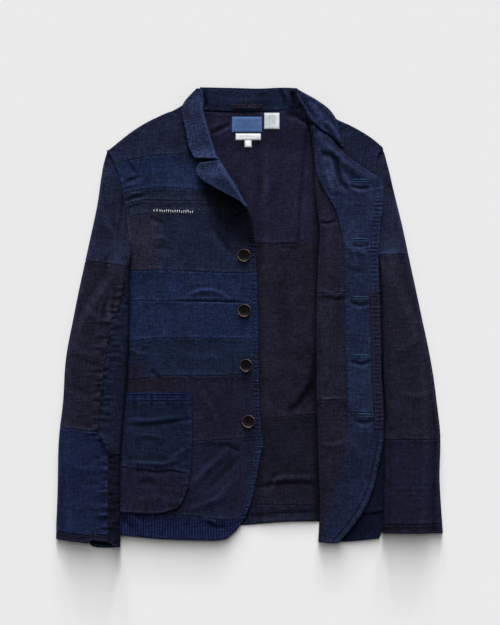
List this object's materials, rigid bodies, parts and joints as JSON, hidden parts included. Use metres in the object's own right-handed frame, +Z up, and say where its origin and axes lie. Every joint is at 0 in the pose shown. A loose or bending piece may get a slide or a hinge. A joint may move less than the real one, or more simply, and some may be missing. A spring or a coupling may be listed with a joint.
{
  "type": "patched boro jacket",
  "caption": "Patchwork indigo cotton jacket laid flat, one front closed, the other folded open; rests on its back as clothing dressing",
  "frame": {"origin": "on the centre back, on the flat underside that rests on the surface, level with the middle of the body's length", "axes": "+Z up out of the front of the jacket, +Y toward the collar, +X toward the wearer's left sleeve"},
  "size_m": [0.6058, 0.7156, 0.0156],
  "materials": {
    "back_upper": "matte woven cotton",
    "back_middle": "matte woven cotton",
    "back_lower": "matte woven cotton",
    "back_hem": "matte woven cotton",
    "front_right_shoulder": "matte woven cotton",
    "front_right_yoke": "matte woven cotton",
    "front_right_strip_upper": "matte woven cotton",
    "front_right_strip_lower": "matte woven cotton",
    "front_right_chest": "matte woven cotton",
    "front_right_band_upper": "matte woven cotton",
    "front_right_band_lower": "matte woven cotton",
    "front_right_waist": "matte woven cotton",
    "front_right_hip": "matte woven cotton",
    "front_right_skirt": "matte woven cotton",
    "front_right_hem": "matte woven cotton",
    "front_right_edge_binding": "matte woven cotton",
    "pocket_right_band": "matte woven cotton",
    "pocket_right_upper": "matte woven cotton",
    "pocket_right_lower": "matte woven cotton",
    "lapel_right": "matte woven cotton",
    "collar_stand_back": "matte woven cotton",
    "collar_fall_back": "matte woven cotton",
    "collar_fall_right": "matte woven cotton",
    "collar_left_open": "matte woven cotton",
    "front_left_shoulder": "matte woven cotton",
    "front_left_upper": "matte woven cotton",
    "front_left_skirt": "matte woven cotton",
    "pocket_left": "matte woven cotton",
    "flap_upper": "matte woven cotton",
    "flap_chest": "matte woven cotton",
    "flap_waist": "matte woven cotton",
    "flap_skirt": "matte woven cotton",
    "lapel_left_open": "matte woven cotton",
    "facing_left_upper": "matte woven cotton",
    "facing_left_lower": "matte woven cotton",
    "facing_left_edge_strip": "matte woven cotton",
    "sleeve_right_top_upper": "matte woven cotton",
    "sleeve_right_top_middle": "matte woven cotton",
    "sleeve_right_top_lower": "matte woven cotton",
    "sleeve_right_cuff": "matte woven cotton",
    "sleeve_right_under_upper": "matte woven cotton",
    "sleeve_right_under_lower": "matte woven cotton",
    "sleeve_left_top_upper": "matte woven cotton",
    "sleeve_left_top_middle": "matte woven cotton",
    "sleeve_left_top_lower": "matte woven cotton",
    "sleeve_left_cuff": "matte woven cotton",
    "sleeve_left_under_upper": "matte woven cotton",
    "sleeve_left_under_lower": "matte woven cotton",
    "label_upper": "matte woven cotton",
    "label_side": "matte woven cotton",
    "label_lower": "matte woven cotton",
    "hanger_loop": "matte woven cotton",
    "button_1": "dark horn-like, soft shine",
    "button_2": "dark horn-like, soft shine",
    "button_3": "dark horn-like, soft shine",
    "button_4": "dark horn-like, soft shine",
    "button_5": "dark horn-like, soft shine"
  },
  "bodies": {
    "root": {"back_upper": "back_upper", "back_middle": "back_middle", "back_lower": "back_lower", "back_hem": "back_hem", "front_right_shoulder": "front_right_shoulder", "front_right_yoke": "front_right_yoke", "front_right_strip_upper": "front_right_strip_upper", "front_right_strip_lower": "front_right_strip_lower", "front_right_chest": "front_right_chest", "front_right_band_upper": "front_right_band_upper", "front_right_band_lower": "front_right_band_lower", "front_right_waist": "front_right_waist", "front_right_hip": "front_right_hip", "front_right_skirt": "front_right_skirt", "front_right_hem": "front_right_hem", "front_right_edge_binding": "front_right_edge_binding", "pocket_right_band": "pocket_right_band", "pocket_right_upper": "pocket_right_upper", "pocket_right_lower": "pocket_right_lower", "lapel_right": "lapel_right", "collar_stand_back": "collar_stand_back", "collar_fall_back": "collar_fall_back", "collar_fall_right": "collar_fall_right", "collar_left_open": "collar_left_open", "front_left_shoulder": "front_left_shoulder", "front_left_upper": "front_left_upper", "front_left_skirt": "front_left_skirt", "pocket_left": "pocket_left", "flap_upper": "flap_upper", "flap_chest": "flap_chest", "flap_waist": "flap_waist", "flap_skirt": "flap_skirt", "lapel_left_open": "lapel_left_open", "facing_left_upper": "facing_left_upper", "facing_left_lower": "facing_left_lower", "facing_left_edge_strip": "facing_left_edge_strip", "sleeve_right_top_upper": "sleeve_right_top_upper", "sleeve_right_top_middle": "sleeve_right_top_middle", "sleeve_right_top_lower": "sleeve_right_top_lower", "sleeve_right_cuff": "sleeve_right_cuff", "sleeve_right_under_upper": "sleeve_right_under_upper", "sleeve_right_under_lower": "sleeve_right_under_lower", "sleeve_left_top_upper": "sleeve_left_top_upper", "sleeve_left_top_middle": "sleeve_left_top_middle", "sleeve_left_top_lower": "sleeve_left_top_lower", "sleeve_left_cuff": "sleeve_left_cuff", "sleeve_left_under_upper": "sleeve_left_under_upper", "sleeve_left_under_lower": "sleeve_left_under_lower", "label_upper": "label_upper", "label_side": "label_side", "label_lower": "label_lower", "hanger_loop": "hanger_loop", "button_1": "button_1", "button_2": "button_2", "button_3": "button_3", "button_4": "button_4", "button_5": "button_5"}
  },
  "joints": []
}
